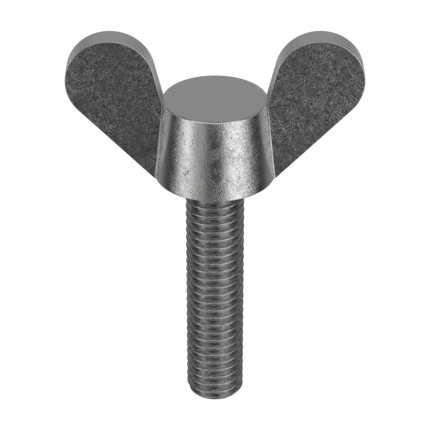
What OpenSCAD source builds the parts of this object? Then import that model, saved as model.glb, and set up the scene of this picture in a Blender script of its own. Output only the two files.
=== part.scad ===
// Wing screw with two round wings: a tapered hub, two wing plates let into it and a threaded stud
// let into it from below. Z runs up the screw's axis, the hub's underside is at z = 0 and the
// wings point along X.

/* [Hub] */
// Diameter of the hub at its underside
hub_base_d = 16.1; // [15.6:0.1:17]
// Diameter of the hub at its flat top
hub_top_d = 14.1; // [13.6:0.1:15]
// Height of the hub
hub_h = 11; // [10.6:0.1:12]
// Broken edge round the hub's top and underside
hub_edge = 0.15; // [0.1:0.05:0.3]

/* [Wings] */
// Distance from one wing's tip to the other's
wing_span = 39; // [37:0.5:42]
// Height of the wings above the hub's underside
wing_rise = 20; // [19:0.5:22]
// Thickness of each wing plate
wing_t = 3.5; // [3:0.1:4]
// Radius of the wing's round end
wing_tip_r = 5.85; // [5:0.05:6.2]
// Lean of the wing's inner edge away from the axis, in degrees
wing_inner_lean = 14; // [12:1:16]
// Distance from the axis to the foot of the wing's lower edge
wing_foot_x = 7.93; // [7.85:0.01:8]

/* [Wing tenons] */
// Thickness of the tenon that goes into the hub
tenon_t = 2.4; // [2:0.1:3]
// Height of the tenon's lower side above the hub's underside
tenon_low = 1.6; // [1.5:0.1:2.5]
// Height of the tenon's upper side above the hub's underside
tenon_high = 9.2; // [8:0.1:9.4]
// Distance from the axis to the tenon's end
tenon_end_x = 4.8; // [4.6:0.1:5.5]

/* [Stud] */
// Length of the stud below the hub
stud_l = 35; // [20:5:60]
// Outside diameter over the thread's crests
thread_major_d = 7.9; // [7.8:0.02:7.96]
// Diameter at the bottom of the thread
thread_minor_d = 6.47; // [6.4:0.01:6.6]
// Rise of the thread in one turn
thread_pitch = 1.25; // [1.1:0.05:1.5]
// Angle round the axis at which the thread begins, from +X
thread_start = 90; // [0:15:345]
// Plain neck between the hub and the thread
neck_l = 2; // [1.5:0.1:4]
// Diameter of the stud's end face
stud_tip_d = 7; // [6.6:0.1:7.4]
// Height of the chamfer at the stud's end
stud_tip_h = 0.6; // [0.5:0.1:1]
// Diameter of the plain spigot inside the hub
spigot_d = 7; // [6.4:0.1:7.2]
// Length of the spigot inside the hub
spigot_l = 8.6; // [7:0.1:8.8]

/* [Hidden] */

$fn = 96;
joint_gap = 0.05;
reach = 1;

tip_x = wing_span / 2 - wing_tip_r;
tip_z = wing_rise - wing_tip_r;
tip_centre = [tip_x, tip_z];
lower_foot = [wing_foot_x, 0];
lower_touch = tangent_point(lower_foot, tip_centre, wing_tip_r);
inner_touch = tip_centre + wing_tip_r * [-cos(wing_inner_lean), sin(wing_inner_lean)];
inner_drop = inner_touch[1] - hub_h;
inner_foot = inner_touch - [inner_drop * tan(wing_inner_lean), inner_drop];
root_x = hub_top_d / 2 - reach;
tenon_l = hub_base_d / 2 + reach - tenon_end_x;

crest_r = thread_major_d / 2;
seat_h = crest_r - spigot_d / 2;
tip_land_h = 0.2;
land_bottom_z = -stud_l + stud_tip_h;

// The helix is a closed solid between two flat rings, a hair inside the crest cylinder. Its section
// has four corners, from the crest's lower edge to the root's upper edge
facets = 24;
flank_angle = 30;
helix_bottom_z = land_bottom_z + tip_land_h;
helix_top_z = -neck_l;
collar_h = 0.05;
helix_crest_r = crest_r - 0.01;
helix_root_r = thread_minor_d / 2;
flank_w = (helix_crest_r - helix_root_r) * tan(flank_angle);
crest_w = thread_pitch / 6;
corner_r = [helix_crest_r, helix_crest_r, helix_root_r, helix_root_r];
corner_z = [0, crest_w, crest_w + flank_w, thread_pitch - flank_w];
steps = floor(((helix_top_z - helix_bottom_z - 2 * collar_h) / thread_pitch - 1) * facets);
fade_steps = facets / 2;

// Point where the lower line from p touches the circle of radius r round c
function tangent_point(p, c, r) =
    let (
        v = c - p,
        d = norm(v),
        bearing = atan2(v[1], v[0]) - asin(r / d),
        run = sqrt(d * d - r * r)
    )
    p + run * [cos(bearing), sin(bearing)];

// Depth of the thread at a step: nothing at its two ends, then 1
function depth(i) = max(0, min(1, i / fade_steps, (steps - i) / fade_steps));

function step_point(i, r, z) = [r * cos(360 * i / facets), r * sin(360 * i / facets), z];

function corner_point(i, k) = step_point(
    i,
    helix_crest_r - (helix_crest_r - corner_r[k]) * depth(i),
    helix_bottom_z + collar_h + thread_pitch * i / facets + corner_z[k]
);

// Numbers of the helix's points: its corners, then the last crest's edge, then the two end rings
function corner(i, k) = k == 4 ? corner(i + facets, 0) : i <= steps ? 4 * i + k : 3 * (steps + 1) + i;
function low_ring(i) = 4 * (steps + 1) + facets + i % facets;
function high_ring(i) = 4 * (steps + 1) + 2 * facets + i % facets;

helix_points = [
    for (i = [0 : steps], k = [0 : 3]) corner_point(i, k),
    for (i = [steps + 1 : steps + facets]) corner_point(i, 0),
    for (i = [0 : facets - 1]) step_point(i, helix_crest_r, helix_bottom_z),
    for (i = [0 : facets - 1]) step_point(steps + i, helix_crest_r, helix_top_z)
];

helix_faces = [
    for (i = [0 : steps - 1], k = [0 : 3]) [
        corner(i, k), corner(i, k + 1), corner(i + 1, k + 1), corner(i + 1, k)
    ],
    for (i = [0 : facets - 2]) [low_ring(i), corner(i, 0), corner(i + 1, 0), low_ring(i + 1)],
    [low_ring(facets - 1), corner(facets - 1, 0), for (k = [4 : -1 : 0]) corner(0, k), low_ring(0)],
    [high_ring(1), corner(steps + 1, 0), for (k = [0 : 4]) corner(steps, k), high_ring(0)],
    for (i = [1 : facets - 1]) [
        corner(steps + i, 0), high_ring(i), high_ring(i + 1), corner(steps + i + 1, 0)
    ],
    [for (i = [0 : facets - 1]) low_ring(i)],
    [for (i = [facets - 1 : -1 : 0]) high_ring(i)]
];

module hub_blank() {
    rotate_extrude()
        polygon([
            [0, 0],
            [hub_base_d / 2 - hub_edge, 0],
            [hub_base_d / 2, hub_edge],
            [hub_top_d / 2, hub_h - hub_edge],
            [hub_top_d / 2 - hub_edge, hub_h],
            [0, hub_h]
        ]);
}

// The tenon on the +X side, long enough to reach out of the hub into the wing
module tenon() {
    translate([tenon_end_x, -tenon_t / 2, tenon_low])
        cube([tenon_l, tenon_t, tenon_high - tenon_low]);
}

module hub() {
    color("silver")
        difference() {
            hub_blank();
            cylinder(d = spigot_d, h = spigot_l);
            // The mouth of the bore, opened out for the stud's cone and the filler metal
            cylinder(r1 = crest_r + joint_gap, r2 = spigot_d / 2, h = seat_h + joint_gap);
            tenon();
            mirror([1, 0, 0]) tenon();
        }
}

module wing_outline() {
    translate(tip_centre) circle(r = wing_tip_r);
    polygon([
        lower_foot,
        lower_touch,
        tip_centre,
        inner_touch,
        inner_foot,
        [root_x, hub_h - reach],
        [root_x, 0]
    ]);
}

// The wing on the +X side: a plate coped to the hub's cone, with its tenon
module wing() {
    difference() {
        translate([0, wing_t / 2, 0])
            rotate([90, 0, 0])
                linear_extrude(wing_t) wing_outline();
        hub_blank();
    }
    tenon();
}

module left_wing() {
    color("dimgray")
        mirror([1, 0, 0]) wing();
}

module right_wing() {
    color("dimgray")
        wing();
}

module threaded_stud() {
    color("gray") {
        translate([0, 0, seat_h]) cylinder(d = spigot_d, h = spigot_l - seat_h);
        cylinder(r1 = crest_r, r2 = spigot_d / 2, h = seat_h);
        translate([0, 0, -neck_l]) cylinder(r = crest_r, h = neck_l);
        rotate([0, 0, thread_start])
            polyhedron(points = helix_points, faces = helix_faces, convexity = 10);
        translate([0, 0, land_bottom_z]) cylinder(r = crest_r, h = tip_land_h);
        translate([0, 0, -stud_l]) cylinder(r1 = stud_tip_d / 2, r2 = crest_r, h = stud_tip_h);
    }
}

hub();
left_wing();
right_wing();
threaded_stud();
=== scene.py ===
"""Looks of the wing screw: a turned hub, two wings brazed to it and a rolled thread, in a white studio."""
import math

import bmesh
import bpy
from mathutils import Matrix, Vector


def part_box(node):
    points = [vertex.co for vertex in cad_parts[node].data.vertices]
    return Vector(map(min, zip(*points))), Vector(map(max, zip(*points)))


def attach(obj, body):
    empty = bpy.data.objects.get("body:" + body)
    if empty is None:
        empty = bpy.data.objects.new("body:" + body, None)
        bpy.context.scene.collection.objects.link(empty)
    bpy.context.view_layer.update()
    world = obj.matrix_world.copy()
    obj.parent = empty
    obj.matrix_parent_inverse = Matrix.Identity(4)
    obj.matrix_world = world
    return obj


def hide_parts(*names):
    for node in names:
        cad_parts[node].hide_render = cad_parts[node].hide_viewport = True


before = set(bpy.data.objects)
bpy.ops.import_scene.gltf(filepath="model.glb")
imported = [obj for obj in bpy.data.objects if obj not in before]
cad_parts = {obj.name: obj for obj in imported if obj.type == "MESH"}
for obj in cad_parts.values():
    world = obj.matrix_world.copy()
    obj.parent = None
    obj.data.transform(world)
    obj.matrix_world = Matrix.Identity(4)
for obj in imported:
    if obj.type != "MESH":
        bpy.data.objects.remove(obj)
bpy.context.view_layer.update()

MM = 0.001
TAU = 2 * math.pi

# Sizes, in metres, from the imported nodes
_, hub_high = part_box("hub")
wing_low, wing_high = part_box("right_wing")
stud_low, stud_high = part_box("threaded_stud")
HUB_BASE_R = hub_high.x
HUB_H = hub_high.z
WING_SPAN = wing_high.x * 2
WING_RISE = wing_high.z
WING_T = wing_high.y - wing_low.y
STUD_R = stud_high.x
STUD_END = stud_low.z
SPIGOT_END = stud_high.z

# Sizes that the boxes don't give, as in the part's source
HUB_TOP_R = 7.05 * MM
HUB_EDGE = 0.15 * MM
WING_TIP_R = 5.85 * MM
WING_FOOT_X = 7.93 * MM
WING_INNER_LEAN = math.radians(14)
THREAD_PITCH = 1.25 * MM
THREAD_ROOT_R = 3.235 * MM
FLANK_ANGLE = math.radians(30)
NECK_L = 2.0 * MM
STUD_TIP_R = 3.5 * MM
STUD_TIP_H = 0.6 * MM
SPIGOT_R = 3.5 * MM

# The looks follow the photo's outlines a little more closely than the CAD's rounded sizes do
HUB_BASE_R += 0.07 * MM
HUB_TOP_R -= 0.08 * MM
HUB_H += 0.12 * MM
HUB_EDGE -= 0.01 * MM
WING_SPAN += 0.08 * MM
WING_RISE += 0.09 * MM
WING_T -= 0.1 * MM
WING_FOOT_X += 0.15 * MM
STUD_R += 0.04 * MM
NECK_L -= 0.6 * MM

# Small shapes, most of which only the looks have
EASE = 0.03 * MM  # how far each sharp edge is eased
HUB_FOOT_Z = -0.01 * MM  # the hub's underside, a hair below the wings' feet
HUB_FOOT_ROUND = 0.25 * MM
BORE_GAP = 0.05 * MM  # room for filler metal at the mouth of the hub's bore
WING_EDGE_IN, WING_EDGE_DEEP = 0.085 * MM, 0.05 * MM  # chamfer, across the wing's face and its edge
ROOT_SINK = 0.15 * MM  # how deep the lower end of the wing's root lies inside the hub
CROWN_DROP = 0.3 * MM  # from the hub's top down to the end of the wing's inner edge
SEAM_W = 0.16 * MM  # the bevel of filler metal, from the hub outwards
SEAM_SLOPE = math.tan(math.radians(17))
SEAM_FADE_LOW, SEAM_FADE_HIGH = HUB_H - 0.05 * MM, HUB_H + 0.1 * MM  # it fades out between these
THREAD_DEPTH = STUD_R - THREAD_ROOT_R
CREST_HALF = THREAD_PITCH / 10  # half the width of a crest's flat
CREST_Z = -4.77 * MM + THREAD_PITCH / 4  # a crest's middle on the +X side, a quarter turn from the front
RUN_OUT_L = 0.5 * MM  # where the thread fades out below the neck

# Tolerances of the mesh tools, in metres
SAME_POINT = 1e-7
ON_PLANE = 1e-8


# ---------------------------------------------------------------- mesh tools

def new_piece(name, verts, faces, slot, *nodes):
    """A smooth-shaded piece on the root body, standing for the CAD nodes named."""
    mesh = bpy.data.meshes.new(name)
    mesh.from_pydata(verts, [], faces)
    mesh.validate()
    work = bmesh.new()
    work.from_mesh(mesh)
    bmesh.ops.remove_doubles(work, verts=work.verts, dist=SAME_POINT)
    bmesh.ops.recalc_face_normals(work, faces=work.faces)
    work.to_mesh(mesh)
    work.free()
    for poly in mesh.polygons:
        poly.use_smooth = True
    piece = bpy.data.objects.new(name, mesh)
    bpy.context.collection.objects.link(piece)
    weighted = piece.modifiers.new("flat_faces", "WEIGHTED_NORMAL")
    weighted.mode = "FACE_AREA"
    weighted.weight = 100
    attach(piece, "root")
    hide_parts(*nodes)
    return piece


def smooth_step(a, b, x):
    """0 at a, 1 at b, and smooth between them."""
    t = min(1, max(0, (x - a) / (b - a)))
    return t * t * (3 - 2 * t)


def arc(centre, radius, start, end, count):
    """Points on a circle from start to end, in radians, both included."""
    return [
        (centre[0] + radius * math.cos(start + (end - start) * i / count),
         centre[1] + radius * math.sin(start + (end - start) * i / count))
        for i in range(count + 1)
    ]


def line(a, b, count):
    """Evenly spaced points from a to b, both included."""
    return [
        (a[0] + (b[0] - a[0]) * i / count, a[1] + (b[1] - a[1]) * i / count)
        for i in range(count + 1)
    ]


def lathe(profile, segments):
    """Turns a profile of (radius, z) round Z. A point on the axis becomes one vertex."""
    verts, rings = [], []
    for r, z in profile:
        if r == 0:
            rings.append([len(verts)] * segments)
            verts.append((0, 0, z))
            continue
        rings.append(list(range(len(verts), len(verts) + segments)))
        verts += [
            (r * math.cos(TAU * i / segments), r * math.sin(TAU * i / segments), z)
            for i in range(segments)
        ]
    faces = []
    for low, high in zip(rings, rings[1:]):
        for i in range(segments):
            j = (i + 1) % segments
            corners = [low[i], low[j], high[j], high[i]]
            face = [c for n, c in enumerate(corners) if c not in corners[:n]]
            if len(face) > 2:
                faces.append(face)
    return verts, faces


# ---------------------------------------------------------------- hub

HUB_SEGMENTS = 192


def hub_radius(z):
    """Radius of the hub's cone at a height."""
    return HUB_BASE_R + (HUB_TOP_R - HUB_BASE_R) * z / HUB_H


def eased(a, b, c, ease, count=4):
    """The corner at b between a and c, rounded: points on a curve that starts and ends at ease from b."""
    before, after = Vector(a) - Vector(b), Vector(c) - Vector(b)
    start, end = Vector(b) + before.normalized() * ease, Vector(b) + after.normalized() * ease
    points = []
    for i in range(count + 1):
        t = i / count
        points.append(tuple(start * (1 - t) ** 2 + Vector(b) * 2 * t * (1 - t) + end * t * t))
    return points


def make_hub():
    """A cone with a blind bore from below, turned from its profile: top, side, foot, underside, bore."""
    shoulder_z = HUB_H - HUB_EDGE
    centre = (0.5 * MM, HUB_H)
    top_in, top_out = (HUB_TOP_R - HUB_EDGE, HUB_H), (hub_radius(shoulder_z), shoulder_z)
    foot_out = (HUB_BASE_R, HUB_FOOT_Z)
    mouth = (STUD_R + BORE_GAP, HUB_FOOT_Z)
    seat = (SPIGOT_R, mouth[0] - SPIGOT_R)
    top_corner, shoulder = eased(centre, top_in, top_out, EASE), eased(top_in, top_out, foot_out, EASE)
    foot_corner = eased(top_out, foot_out, mouth, HUB_FOOT_ROUND, 12)
    profile = (
        [(0, HUB_H)]
        + line(centre, top_corner[0], 12)[:-1] + top_corner + shoulder
        + line(shoulder[-1], foot_corner[0], 24)[1:-1] + foot_corner
        + line(foot_corner[-1], mouth, 8)[1:]
        + line(mouth, seat, 2)[1:]
        + line(seat, (SPIGOT_R, SPIGOT_END), 6)[1:]
        + [(0, SPIGOT_END)]
    )
    return new_piece("hub_turned", *lathe(profile, HUB_SEGMENTS), "hub_metal", "hub")


# ---------------------------------------------------------------- wings

TIP_CENTRE = (WING_SPAN / 2 - WING_TIP_R, WING_RISE - WING_TIP_R)


def lower_lean():
    """Slope angle of the wing's lower edge: a line from its foot that touches the round end."""
    dx, dz = TIP_CENTRE[0] - WING_FOOT_X, TIP_CENTRE[1]
    return math.atan2(dz, dx) - math.asin(WING_TIP_R / math.hypot(dx, dz))


def root_x(z, y):
    """Where the wing's root lies at a height z, y off the plate's middle: inside the hub's cone."""
    r = hub_radius(z) - ROOT_SINK
    return math.sqrt(r * r - y * y)


def foot(inset, y):
    """Where the lower edge, moved in by inset, meets the root."""
    lean = lower_lean()
    start = WING_FOOT_X - inset / math.sin(lean)
    z = 0.0
    # Each round brings z closer to the height where edge and root cross
    for _ in range(30):
        z = max(0.0, (root_x(z, y) - start) * math.tan(lean))
    return (start + z / math.tan(lean), z)


def crown(inset):
    """The lower end of the inner edge, moved in by inset: a little below the hub's top."""
    lean = WING_INNER_LEAN
    r = WING_TIP_R - inset
    touch = (TIP_CENTRE[0] - r * math.cos(lean), TIP_CENTRE[1] + r * math.sin(lean))
    z = HUB_H - CROWN_DROP
    return (touch[0] - (touch[1] - z) * math.tan(lean), z)


def root_rows():
    """Shares of the way from the root to the round end: close together on the bevel, then even."""
    near = [0, 0.006, 0.010] + [0.013 + 0.0024 * i for i in range(12)] + [0.045, 0.055, 0.07, 0.09]
    far = [0.12 + 0.88 * i / 36 for i in range(37)]
    return near + far


ROWS = root_rows()
N_ARC = 72  # steps along the round end, the root, and each row between them


def along(a, b):
    """Points from a to b at the shares in ROWS."""
    return [(a[0] + (b[0] - a[0]) * t, a[1] + (b[1] - a[1]) * t) for t in ROWS]


def flare(x, y, z):
    """y moved outwards near the hub, so that a small bevel of filler metal runs down the seam."""
    gap = x - math.sqrt(hub_radius(z) ** 2 - y * y)
    swell = max(0, SEAM_W - gap) * SEAM_SLOPE
    swell *= smooth_step(SEAM_FADE_HIGH, SEAM_FADE_LOW, z)
    return y * (1 + swell / (WING_T / 2))


def wing_loop(inset, y):
    """The outline at one level: lower edge, round end, inner edge and root, as four lists of (x, z)."""
    r = WING_TIP_R - inset
    low_angle = lower_lean() - math.pi / 2
    high_angle = math.pi - WING_INNER_LEAN
    bend = arc(TIP_CENTRE, r, low_angle, high_angle, N_ARC)
    lower = along(foot(inset, y), bend[0])
    # The edge's first point is moved into the hub, at its own height
    lower[0] = (min(lower[0][0], root_x(0, y)), lower[0][1])
    inner = along(crown(inset), bend[-1])
    root = line(lower[0], inner[0], N_ARC)
    return lower, bend, inner, root


def wing_levels():
    """(inset, y) of each level from the back face to the front face, round its two edges."""
    half = WING_T / 2
    face, rim = (WING_EDGE_IN, half), (0, half - WING_EDGE_DEEP)
    back = eased((2 * WING_EDGE_IN, half), face, rim, EASE) + eased(face, rim, (0, 0), EASE)
    flat = line(back[-1], (0, -back[-1][1]), 8)[1:-1]
    return back + flat + [(d, -y) for d, y in reversed(back)]


def patch(lower, bend, inner, root):
    """Points that fill one face between its four edges, row by row from the root to the round end."""
    rows = []
    for i, u in enumerate(ROWS):
        row = []
        for j in range(N_ARC + 1):
            v = j / N_ARC
            row.append(tuple(
                (1 - u) * root[j][k] + u * bend[j][k] + (1 - v) * lower[i][k] + v * inner[i][k]
                - (1 - u) * (1 - v) * root[0][k] - u * (1 - v) * bend[0][k]
                - (1 - u) * v * root[-1][k] - u * v * bend[-1][k]
                for k in (0, 1)
            ))
        rows.append(row)
    return rows


def make_wing(name, side, node):
    """A plate: one ring of points for each level, and a patch over each face. side is -1 or 1."""
    verts, faces, loops = [], [], []
    levels = wing_levels()
    for inset, y in levels:
        lower, bend, inner, root = wing_loop(inset, y)
        ring = lower[:-1] + bend[:-1] + inner[:0:-1] + root[:0:-1]
        loops.append(list(range(len(verts), len(verts) + len(ring))))
        verts += [(side * x, y, z) for x, z in ring]
    for a, b in zip(loops, loops[1:]):
        for i in range(len(a)):
            j = (i + 1) % len(a)
            faces.append([a[i], a[j], b[j], b[i]])
    for inset, y in (levels[0], levels[-1]):
        rows = patch(*wing_loop(inset, y))
        start = len(verts)
        for row in rows:
            verts += [(side * x, y, z) for x, z in row]
        width = N_ARC + 1
        for i in range(len(ROWS) - 1):
            for j in range(N_ARC):
                a = start + i * width + j
                faces.append([a, a + 1, a + width + 1, a + width])
    verts = [(x, flare(abs(x), y, z), z) for x, y, z in verts]
    return new_piece(name, verts, faces, "wing_metal", node)


# ---------------------------------------------------------------- stud

TURN_STEPS = 96
HALF_TURN_ROWS = [0, 0.05, 0.08, 0.1, 0.12, 0.15, 0.2, 0.27, 0.34, 0.41, 0.46, 0.5]  # shares of the pitch


def rise(t, soft):
    """0 below 0 and t above it, with a rounded corner."""
    return 0.5 * (t + math.sqrt(t * t + soft * soft))


def soft_clamp(x, crest_soft=0.10, root_soft=0.2):
    """x held between 0 and 1 with rounded corners."""
    return rise(x, crest_soft) - rise(x - 1, root_soft)


def groove(w):
    """Depth of the thread, from 0 to 1, at a distance w along the axis from the middle of a crest."""
    flank = THREAD_DEPTH * math.tan(FLANK_ANGLE)
    low = soft_clamp(-CREST_HALF / flank)
    high = soft_clamp((THREAD_PITCH / 2 - CREST_HALF) / flank)
    return (soft_clamp((abs(w) - CREST_HALF) / flank) - low) / (high - low)


def blank_radius(z):
    """Radius of the stud before its thread: spigot, seat cone, neck, and the chamfer at the end."""
    if z > 0:
        return max(SPIGOT_R, STUD_R - z)
    return min(STUD_R, STUD_TIP_R + (STUD_R - STUD_TIP_R) * (z - STUD_END) / STUD_TIP_H)


def stud_radius(w, z):
    """Radius of the threaded stud at a height z that is w away from the middle of a crest."""
    run_out = smooth_step(-NECK_L, -NECK_L - RUN_OUT_L, z)
    return min(blank_radius(z), STUD_R - THREAD_DEPTH * groove(w) * run_out)


def turn_rows():
    """Heights of the grid's rows above the middle of one crest, up to the last before the next crest."""
    rows = [share * THREAD_PITCH for share in HALF_TURN_ROWS]
    return rows + [THREAD_PITCH - row for row in reversed(rows[1:-1])]


def stud_grid():
    """Points and faces of a sheared grid that follows the helix and reaches past both ends."""
    rows = turn_rows()
    first = math.floor((STUD_END - CREST_Z) / THREAD_PITCH) - 2
    last = math.ceil((SPIGOT_END - CREST_Z) / THREAD_PITCH) + 1
    verts, columns, faces = [], [], []
    for i in range(TURN_STEPS):
        angle = TAU * i / TURN_STEPS
        column = []
        for turn in range(first, last):
            for row in rows:
                w = row if row < THREAD_PITCH / 2 else row - THREAD_PITCH
                z = CREST_Z + THREAD_PITCH * (turn + i / TURN_STEPS) + row
                r = stud_radius(w, max(z, STUD_END))
                column.append(len(verts))
                verts.append((r * math.cos(angle), r * math.sin(angle), z))
        columns.append(column)
    # After a whole turn the first column comes again, one pitch higher
    columns.append(columns[0][len(rows):])
    for here, there in zip(columns, columns[1:]):
        for s in range(min(len(here), len(there)) - 1):
            faces.append([here[s], there[s], there[s + 1], here[s + 1]])
    return verts, faces


def cut_flat(work, z, up):
    """Cuts the stud off at a height and closes it there. up is 1 for its top and -1 for its bottom."""
    everything = work.verts[:] + work.edges[:] + work.faces[:]
    cut = bmesh.ops.bisect_plane(
        work, geom=everything, dist=ON_PLANE, plane_co=(0, 0, z), plane_no=(0, 0, up), clear_outer=True
    )
    rim = [e for e in cut["geom_cut"] if isinstance(e, bmesh.types.BMEdge)]
    bmesh.ops.triangle_fill(work, use_beauty=True, use_dissolve=False, edges=rim, normal=(0, 0, up))


def make_stud():
    """The thread's grid, cut flat at both ends."""
    verts, faces = stud_grid()
    blank = bpy.data.meshes.new("stud_blank")
    blank.from_pydata(verts, [], faces)
    work = bmesh.new()
    work.from_mesh(blank)
    cut_flat(work, STUD_END, -1)
    cut_flat(work, SPIGOT_END, 1)
    bmesh.ops.dissolve_degenerate(work, dist=SAME_POINT, edges=work.edges)
    work.verts.index_update()
    verts = [v.co[:] for v in work.verts]
    faces = [[v.index for v in f.verts] for f in work.faces]
    work.free()
    bpy.data.meshes.remove(blank)
    return new_piece("stud_rolled_thread", verts, faces, "stud_metal", "threaded_stud")


# ---------------------------------------------------------------- studio

CAMERA_DISTANCE = 0.2547
CAMERA_ELEVATION = math.radians(30.4)
CAMERA_AIM = Vector((0, 0, -6.65 * MM))
CAMERA_LENS = 156.6
TABLE_SIZE = 1.2
TABLE_GAP = 0.01 * MM
PAPER_GLOW = 1.05
NEUTRAL, WARM, COOL = (1, 1, 1), (1.02, 1, 0.95), (0.96, 0.98, 1.05)


def make_camera():
    """The camera in front of the object, at the photo's viewing angle."""
    data = bpy.data.cameras.new("camera")
    data.lens = CAMERA_LENS
    data.clip_start = 0.01
    camera = bpy.data.objects.new("camera", data)
    back = Vector((0, -math.cos(CAMERA_ELEVATION), math.sin(CAMERA_ELEVATION)))
    camera.location = CAMERA_AIM + back * CAMERA_DISTANCE
    camera.rotation_mode = "QUATERNION"
    camera.rotation_quaternion = (-back).to_track_quat("-Z", "Y")
    bpy.context.collection.objects.link(camera)
    bpy.context.scene.camera = camera


def stage_piece(name, mesh, glow):
    """Part of the studio that only the camera sees, at one even brightness."""
    thing = bpy.data.objects.new(name, mesh)
    bpy.context.collection.objects.link(thing)
    thing.visible_diffuse = thing.visible_glossy = thing.visible_shadow = False
    paper = bpy.data.materials.new(name)
    paper.use_nodes = True
    n = Nodes(paper.node_tree)
    light = n.add("ShaderNodeEmission")
    light.inputs["Strength"].default_value = glow
    clear = n.add("ShaderNodeBsdfTransparent")
    front_only = n.add("ShaderNodeMixShader")
    n.feed(front_only, 0, n.add("ShaderNodeNewGeometry").outputs["Backfacing"])
    n.feed(front_only, 1, light.outputs[0])
    n.feed(front_only, 2, clear.outputs[0])
    n.feed(n.add("ShaderNodeOutputMaterial"), "Surface", front_only.outputs[0])
    mesh.materials.append(paper)


def make_stage():
    """A white table at the stud's tip, and a white backdrop all round."""
    mesh = bpy.data.meshes.new("table")
    s, z = TABLE_SIZE / 2, STUD_END - TABLE_GAP
    mesh.from_pydata([(-s, -s, z), (s, -s, z), (s, s, z), (-s, s, z)], [], [(0, 1, 2, 3)])
    stage_piece("table", mesh, PAPER_GLOW)
    mesh = bpy.data.meshes.new("backdrop")
    work = bmesh.new()
    bmesh.ops.create_icosphere(work, subdivisions=4, radius=TABLE_SIZE)
    bmesh.ops.reverse_faces(work, faces=work.faces)
    work.to_mesh(mesh)
    work.free()
    stage_piece("backdrop", mesh, PAPER_GLOW)


class Nodes:
    """Short calls for building a node tree."""

    def __init__(self, tree):
        self.tree = tree
        tree.nodes.clear()

    def add(self, kind, **settings):
        """A new node with its settings."""
        node = self.tree.nodes.new(kind)
        for key, value in settings.items():
            setattr(node, key, value)
        return node

    def feed(self, node, key, value):
        """Links a socket to an input, or sets the input to a plain value. None leaves it alone."""
        if isinstance(value, bpy.types.NodeSocket):
            self.tree.links.new(value, node.inputs[key])
        elif value is not None:
            node.inputs[key].default_value = value

    def math(self, operation, a, b=None, c=None, clamp=False):
        node = self.add("ShaderNodeMath", operation=operation, use_clamp=clamp)
        for key, value in enumerate((a, b, c)):
            self.feed(node, key, value)
        return node.outputs[0]

    def times(self, a, b):
        return self.math("MULTIPLY", a, b)

    def plus(self, base, value, factor):
        """base with value times factor added to it."""
        return self.math("MULTIPLY_ADD", value, factor, base)

    def centred(self, value):
        """A value from 0 to 1, moved so that its middle is at 0."""
        return self.math("SUBTRACT", value, 0.5)

    def dot(self, a, b):
        node = self.add("ShaderNodeVectorMath", operation="DOT_PRODUCT")
        self.feed(node, 0, a)
        self.feed(node, 1, b)
        return node.outputs["Value"]

    def stretch(self, vector, factors):
        """A vector with each of its three parts multiplied by its own factor."""
        node = self.add("ShaderNodeVectorMath", operation="MULTIPLY")
        self.feed(node, 0, vector)
        self.feed(node, 1, factors)
        return node.outputs[0]

    def parts(self, vector):
        """The three parts of a vector."""
        node = self.add("ShaderNodeSeparateXYZ")
        self.feed(node, 0, vector)
        return node.outputs

    def ramp(self, value, low, high, to_low=0.0, to_high=1.0):
        """A smooth step of value from low to high."""
        node = self.add("ShaderNodeMapRange", interpolation_type="SMOOTHSTEP")
        self.feed(node, "Value", value)
        self.feed(node, "From Min", low)
        self.feed(node, "From Max", high)
        self.feed(node, "To Min", to_low)
        self.feed(node, "To Max", to_high)
        return node.outputs["Result"]


# Soft panels of the studio. Each has a name, then azimuth (0 is the camera's side, 90 the right), half
# width and soft edge, then elevation, half height and soft edge, all in degrees, then brightness and tint
PANELS = [
    ("left_softbox", -58, 13, 33, -12, 33, 15, 1.42, NEUTRAL),
    ("left_fill", -26, 9, 13, -20, 25, 15, 0.42, WARM),
    ("right_softbox", 44.5, 23.5, 29, -12, 33, 15, 1.26, NEUTRAL),
    ("front_glow", 0, 14, 14, -20, 25, 15, 0.018, NEUTRAL),
    ("front_top", 0, 71, 26, 51, 13, 12, 0.97, NEUTRAL),
    ("front_middle", 0, 26, 24, 26, 12, 12, 0.65, NEUTRAL),
    ("left_top", -118, 40, 30, 38, 9, 15, 0.2, NEUTRAL),
    ("right_top", 118, 40, 30, 38, 9, 15, 0.2, NEUTRAL),
    ("left_side", -86, 10, 14, 30, 12, 14, 0.2, NEUTRAL),
    ("right_side", 86, 10, 14, 30, 12, 14, 0.35, NEUTRAL),
    ("back_wall", 180, 37, 50, 15, 34, 18, 0.385, NEUTRAL),
    ("low_back", 180, 67, 36, -26, 18, 20, 0.25, COOL),
    ("table_glow", 0, 180, 10, -78, 14, 12, 0.2, NEUTRAL),
]
AMBIENT = 0.06


def soft_edge(n, angle, half, soft):
    """1 where an angle is well under half and 0 well over it, over an edge soft wide, in degrees."""
    return n.ramp(angle, math.radians(half - soft / 2), math.radians(half + soft / 2), 1, 0)


def panel_light(n, ray, elevation, panel):
    """The light of one panel along a ray."""
    name, azimuth, half_w, soft_w, height, half_h, soft_h, strength, tint = panel
    a = math.radians(azimuth)
    ahead = n.dot(ray, (math.sin(a), -math.cos(a), 0))
    aside = n.dot(ray, (math.cos(a), math.sin(a), 0))
    turn = n.math("ABSOLUTE", n.math("ARCTAN2", aside, ahead))
    lift = n.math("ABSOLUTE", n.math("SUBTRACT", elevation, math.radians(height)))
    inside = n.times(soft_edge(n, turn, half_w, soft_w), soft_edge(n, lift, half_h, soft_h))
    glow = n.add("ShaderNodeBackground", label=name)
    glow.inputs["Color"].default_value = (*tint, 1)
    n.feed(glow, "Strength", n.times(inside, strength))
    return glow.outputs[0]


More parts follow.
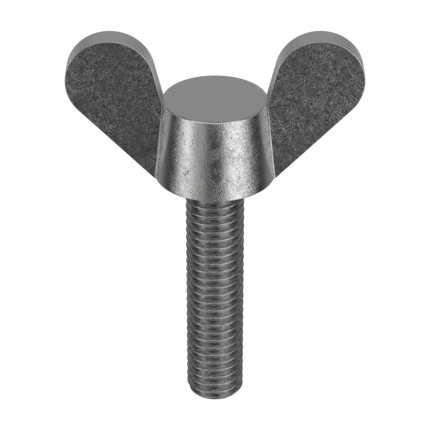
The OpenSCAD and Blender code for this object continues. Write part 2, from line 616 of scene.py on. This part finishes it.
def make_world():
    """The panels and an even light from all round, as the world's shader."""
    world = bpy.data.worlds.new("studio")
    bpy.context.scene.world = world
    world.use_nodes = True
    n = Nodes(world.node_tree)
    ray = n.add("ShaderNodeTexCoord").outputs["Generated"]
    elevation = n.math("ARCSINE", n.dot(ray, (0, 0, 1)))
    lights = [panel_light(n, ray, elevation, panel) for panel in PANELS]
    even = n.add("ShaderNodeBackground")
    even.inputs["Strength"].default_value = AMBIENT
    total = lights[0]
    for light in lights[1:] + [even.outputs[0]]:
        both = n.add("ShaderNodeAddShader")
        n.feed(both, 0, total)
        n.feed(both, 1, light)
        total = both.outputs[0]
    n.feed(n.add("ShaderNodeOutputWorld"), "Surface", total)


# ---------------------------------------------------------------- materials

# A tick-shaped nick on the hub's front: its corners, as (x, z) in millimetres
NICK = [(-4.2, 3.55), (-3.9, 3.3), (-3.45, 4.05)]
NICK_WIDTH = 0.07 * MM
TURNING_RINGS = 0.12 * MM


class Steel(Nodes):
    """Bare steel in object coordinates, with the patterns that the pieces share. Heights are in metres."""

    def __init__(self, name):
        self.material = bpy.data.materials.new(name)
        self.material.use_nodes = True
        super().__init__(self.material.node_tree)
        where = self.add("ShaderNodeTexCoord")
        self.place = where.outputs["Object"]
        self.x, self.y = self.parts(self.place)[:2]
        square = self.math("ADD", self.times(self.x, self.x), self.times(self.y, self.y))
        self.radius = self.math("SQRT", square)
        self.facing = [self.math("ABSOLUTE", part) for part in self.parts(where.outputs["Normal"])]

    def grain(self, size, detail=2.0, seed=0.0, place=None):
        """Soft noise from 0 to 1 whose lumps are about size across."""
        node = self.add("ShaderNodeTexNoise", noise_dimensions="4D")
        self.feed(node, "Vector", place or self.place)
        self.feed(node, "W", seed)
        self.feed(node, "Scale", 1 / size)
        self.feed(node, "Detail", detail)
        self.feed(node, "Roughness", 0.6)
        return node.outputs["Fac"]

    def squashed(self, factor):
        """The piece's own place, squeezed along the axis: a pattern on it lies in short level dashes."""
        return self.stretch(self.place, (1, 1, factor))

    def pits(self, spacing, width, share, seed=0.0):
        """1 in small pits of mixed size and shape, 0 elsewhere. A larger share spreads them further."""
        shake = self.add("ShaderNodeTexNoise", noise_dimensions="4D")
        self.feed(shake, "Vector", self.place)
        self.feed(shake, "W", seed)
        self.feed(shake, "Scale", 1.5 / width)
        moved = self.add("ShaderNodeVectorMath", operation="MULTIPLY_ADD")
        self.feed(moved, 0, shake.outputs["Color"])
        moved.inputs[1].default_value = (1.6 * width,) * 3
        self.feed(moved, 2, self.place)
        cells = self.add("ShaderNodeTexVoronoi", feature="F1")
        self.feed(cells, "Vector", moved.outputs[0])
        self.feed(cells, "Scale", 1 / spacing)
        chance = self.add("ShaderNodeSeparateColor")
        self.feed(chance, 0, cells.outputs["Color"])
        size = self.plus(0.1 * width / spacing, chance.outputs[0], width / spacing)
        near = self.math("DIVIDE", cells.outputs["Distance"], size)
        dip = self.times(self.ramp(near, 1, 0.4), chance.outputs[1])
        patches = self.grain(spacing * 5, 1.0, seed + 3)
        return self.times(dip, self.ramp(patches, 0.62 - share * 0.3, 0.68 - share * 0.3))

    def scratches(self, turn, length, width, share, seed=0.0):
        """1 in thin straight marks that lie in the XZ plane at an angle, 0 elsewhere."""
        turned = self.add("ShaderNodeMapping", vector_type="POINT")
        self.feed(turned, "Vector", self.place)
        turned.inputs["Rotation"].default_value = (0, turn, 0)
        along_marks = self.stretch(turned.outputs[0], (1, 1, width / length))
        bands = self.grain(width * 14, 0.0, seed, along_marks)
        mark = self.ramp(self.math("ABSOLUTE", self.centred(bands)), 0.014, 0.004)
        patches = self.grain(length * 0.8, 1.0, seed + 7)
        return self.times(mark, self.ramp(patches, 0.62 - share * 0.2, 0.7 - share * 0.2))

    def nick(self, start, end):
        """1 on one short straight mark on the front, between two places given as (x, z) in millimetres."""
        a = Vector((start[0], 0, start[1])) * MM
        run = Vector((end[0], 0, end[1])) * MM - a
        offset = self.add("ShaderNodeVectorMath", operation="SUBTRACT")
        self.feed(offset, 0, self.place)
        self.feed(offset, 1, a)
        share = self.math("DIVIDE", self.dot(offset.outputs[0], run), run.length_squared, clamp=True)
        nearest = self.add("ShaderNodeVectorMath", operation="SCALE")
        self.feed(nearest, 0, run)
        self.feed(nearest, "Scale", share)
        away = self.add("ShaderNodeVectorMath", operation="DISTANCE")
        self.feed(away, 0, self.stretch(offset.outputs[0], (1, 0, 1)))
        self.feed(away, 1, nearest.outputs[0])
        mark = self.ramp(away.outputs["Value"], NICK_WIDTH, NICK_WIDTH / 2)
        return self.times(mark, self.math("LESS_THAN", self.y, 0))

    def mix(self, share, a, b):
        """a where share is 0, b where it is 1."""
        node = self.add("ShaderNodeMix", data_type="FLOAT")
        self.feed(node, 0, share)
        self.feed(node, 2, a)
        self.feed(node, 3, b)
        return node.outputs[0]

    def finish(self, shade, roughness, height, tint=(1, 1, 1)):
        """The finished material. shade is the reflectance, from 0 to 1, and tint its colour."""
        colour = self.add("ShaderNodeVectorMath", operation="SCALE")
        colour.inputs[0].default_value = tint
        self.feed(colour, "Scale", shade)
        bump = self.add("ShaderNodeBump")
        bump.inputs["Distance"].default_value = 1
        self.feed(bump, "Height", height)
        shader = self.add("ShaderNodeBsdfPrincipled")
        shader.inputs["Metallic"].default_value = 1
        self.feed(shader, "Base Color", colour.outputs[0])
        self.feed(shader, "Roughness", roughness)
        self.feed(shader, "Normal", bump.outputs[0])
        self.feed(self.add("ShaderNodeOutputMaterial"), "Surface", shader.outputs[0])
        return self.material


def hub_steel():
    """Turned steel: bright and finely pitted on the cone, with fine turning rings on the flat ends."""
    end_shade, side_shade, pit_shade, edge_wear_and_highlight_gain = 0.6, 0.61, 0.3, 0.25
    end_rough, edge_rough, side_rough, cloud_rough = 0.34, 0.24, 0.13, 0.14
    fine_h, coarse_h, pit_h, ring_h = 0.052 * MM, 0.014 * MM, -0.012 * MM, 0.0003 * MM
    s = Steel("turned_steel")
    side = s.ramp(s.facing[2], 0.35, 0.15)
    ends = s.math("SUBTRACT", 1.0, side)
    # Chamfered edges: smoother as real wear, and lighter as a painted highlight along the rim
    worn_and_highlit_edge = s.times(s.ramp(s.facing[2], 0.12, 0.4), s.ramp(s.facing[2], 0.99, 0.9))
    # 1 on the front and back, fading out towards the wings
    between = s.ramp(s.math("DIVIDE", s.math("ABSOLUTE", s.x), s.radius), 0.88, 0.68)
    fine = s.grain(0.2 * MM, place=s.squashed(1.6))
    coarse = s.grain(0.6 * MM, detail=3, seed=1)
    cloud = s.grain(3 * MM, seed=2)
    patchy = s.times(s.ramp(s.grain(1.9 * MM, seed=5), 0.36, 0.6, 0.3, 1), between)
    small_pits = s.pits(spacing=0.3 * MM, width=0.11 * MM, share=0.6)
    other_pits = s.pits(spacing=0.25 * MM, width=0.125 * MM, share=0.6, seed=9)
    pits = s.times(s.math("MAXIMUM", small_pits, other_pits), s.ramp(between, 0, 0.6, 0.15, 1))
    for start, end in zip(NICK, NICK[1:]):
        pits = s.math("MAXIMUM", pits, s.nick(start, end))
    pits = s.times(pits, side)
    speckle = s.ramp(s.plus(s.times(coarse, 0.4), fine, 0.6), 0.36, 0.64)
    speckle = s.times(s.centred(speckle), patchy)
    speckle = s.times(speckle, s.ramp(s.x, 0, 1.6 * MM, 0.3, 0.5))
    shade = s.mix(side, end_shade, s.math("ADD", speckle, side_shade))
    shade = s.times(shade, s.ramp(pits, 0, 1, 1, pit_shade))
    # Painted highlight: the chamfers' reflectance is raised, partly as edge wear and partly to brighten
    # the rim's bright line
    shade = s.plus(shade, worn_and_highlit_edge, edge_wear_and_highlight_gain)
    rough = s.mix(side, s.mix(worn_and_highlit_edge, end_rough, edge_rough), s.plus(side_rough, cloud, cloud_rough))
    height = s.times(s.centred(fine), fine_h)
    height = s.plus(height, s.centred(coarse), coarse_h)
    height = s.times(height, s.times(side, patchy))
    height = s.plus(height, pits, pit_h)
    rings = s.math("SINE", s.times(s.radius, TAU / TURNING_RINGS))
    height = s.plus(height, s.times(rings, ends), ring_h)
    return s.finish(shade, rough, height)


def wing_steel():
    """Tumbled steel: dark, mottled and lightly scratched on the faces, plain round the edge."""
    edge_shade, face_shade, mottle_gain, mark_gain, spot_gain = 0.6, 0.412, 0.55, 0.12, 0.22
    edge_rough, face_rough, cloud_rough = 0.34, 0.22, 0.2
    fine_h, coarse_h, mark_h = 0.022 * MM, 0.03 * MM, -0.006 * MM
    s = Steel("pressed_steel")
    face = s.ramp(s.facing[1], 0.96, 0.995)
    fine = s.grain(0.24 * MM, detail=1)
    coarse = s.grain(0.8 * MM, detail=3, seed=1)
    cloud = s.grain(3.5 * MM, detail=3, seed=2)
    patchy = s.ramp(cloud, 0.4, 0.6, 0.5, 1.1)
    long_marks = s.scratches(turn=0.5, length=4 * MM, width=0.08 * MM, share=0.5)
    short_marks = s.scratches(turn=-0.75, length=3 * MM, width=0.07 * MM, share=0.4, seed=4)
    marks = s.times(s.math("MAXIMUM", long_marks, short_marks), face)
    spots = s.times(s.pits(spacing=0.7 * MM, width=0.32 * MM, share=0.8, seed=2), face)
    mottle = s.ramp(s.plus(s.times(coarse, 0.4), fine, 0.6), 0.34, 0.66)
    mottle = s.times(s.centred(mottle), patchy)
    shade = s.mix(face, edge_shade, s.plus(face_shade, mottle, mottle_gain))
    shade = s.plus(shade, marks, mark_gain)
    shade = s.plus(shade, spots, spot_gain)
    rough = s.mix(face, edge_rough, s.plus(face_rough, cloud, cloud_rough))
    rough_face = s.times(face, patchy)
    height = s.times(s.times(fine, fine_h), rough_face)
    height = s.plus(height, s.times(coarse, rough_face), coarse_h)
    height = s.plus(height, marks, mark_h)
    return s.finish(shade, rough, height, tint=(0.998, 1, 1.01))


def stud_steel():
    """Rolled steel: short level streaks, a smoother root than crest, and painted shade that darkens the
    root a little.
    """
    base_shade, coarse_gain, streak_gain, root_painted_shade = 0.41, 0.08, 0.95, -0.02
    base_rough, coarse_rough, root_rough = 0.34, 0.1, -0.14
    fine_h, streak_h = 0.0012 * MM, 0.02 * MM
    s = Steel("rolled_steel")
    fine = s.grain(0.25 * MM)
    coarse = s.grain(1.2 * MM, detail=3, seed=1)
    streak = s.grain(0.7 * MM, seed=2, place=s.squashed(5))
    root = s.ramp(s.radius, STUD_R - 0.12 * MM, THREAD_ROOT_R + 0.06 * MM)
    shade = s.plus(base_shade, coarse, coarse_gain)
    shade = s.plus(shade, s.centred(streak), streak_gain)
    # Painted shade: the groove of the thread is made a little darker than the crest
    shade = s.plus(shade, root, root_painted_shade)
    rough = s.plus(s.plus(base_rough, coarse, coarse_rough), root, root_rough)
    height = s.plus(s.times(fine, fine_h), streak, streak_h)
    return s.finish(shade, rough, height)


hub = make_hub()
left = make_wing("left_wing_plate", -1, "left_wing")
right = make_wing("right_wing_plate", 1, "right_wing")
stud = make_stud()
hub.data.materials.append(hub_steel())
pressed = wing_steel()
for wing in (left, right):
    wing.data.materials.append(pressed)
stud.data.materials.append(stud_steel())

make_camera()
make_stage()
make_world()
bpy.context.scene.view_settings.view_transform = "Standard"
bpy.context.scene.cycles.use_denoising = False
